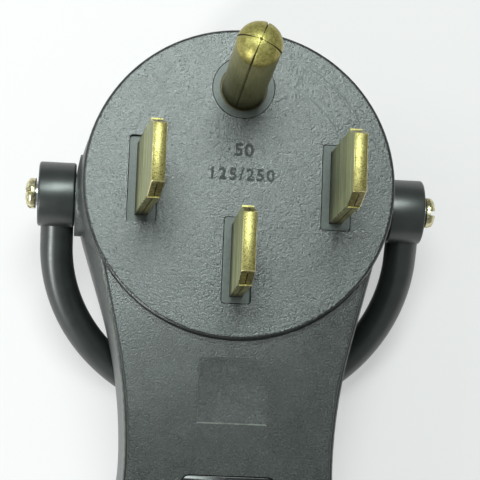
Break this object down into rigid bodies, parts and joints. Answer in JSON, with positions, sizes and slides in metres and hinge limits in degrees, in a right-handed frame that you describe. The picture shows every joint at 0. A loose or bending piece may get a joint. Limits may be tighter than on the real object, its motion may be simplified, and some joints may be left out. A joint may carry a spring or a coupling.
{
  "type": "shore power plug",
  "caption": "Right-angle power plug with flat blades, a round ground pin, a waisted grip with a cable inlet and a swinging pull handle.",
  "frame": {"origin": "centre of the bottom of the box round the whole plug as it lies on its flat back", "axes": "+Z out of the contact face along the prongs, +Y towards the ground pin's end of the head, cable inlet towards -Y"},
  "size_m": [0.0706, 0.1192, 0.0662],
  "materials": {
    "housing": "fine grain",
    "carrier": "smooth",
    "inner_plastic": "smooth",
    "brass": "brushed",
    "brass_screw": "satin",
    "steel": "zinc plated",
    "handle": "glossy",
    "rubber": "matt",
    "plate": "glossy"
  },
  "bodies": {
    "plug_body": {"front_shell": "housing", "rear_shell": "housing", "contact_carrier": "carrier", "contact_retainer": "inner_plastic", "hot_blade_left": "brass", "hot_blade_right": "brass", "neutral_blade": "brass", "ground_pin": "brass", "terminal_saddle_hot_left": "steel", "terminal_saddle_hot_right": "steel", "terminal_saddle_neutral": "steel", "terminal_saddle_ground": "steel", "terminal_screws": "steel", "retainer_screws": "steel", "shell_screws": "steel", "shell_inserts": "brass", "pivot_bush_left": "steel", "pivot_bush_right": "steel", "pivot_screw_left": "brass_screw", "pivot_screw_right": "brass_screw", "pivot_insert_left": "brass", "pivot_insert_right": "brass", "cable_grommet": "rubber", "cord_clamp": "steel", "cord_clamp_screws": "steel", "label_plate": "plate"},
    "pull_handle": {"handle": "handle"}
  },
  "joints": [
    {"name": "handle_swing", "type": "hinge", "parent": "plug_body", "child": "pull_handle", "pos_m": [0, 0.032, 0.0216], "axis": [1, 0, 0], "range_deg": [0, 195]}
  ]
}
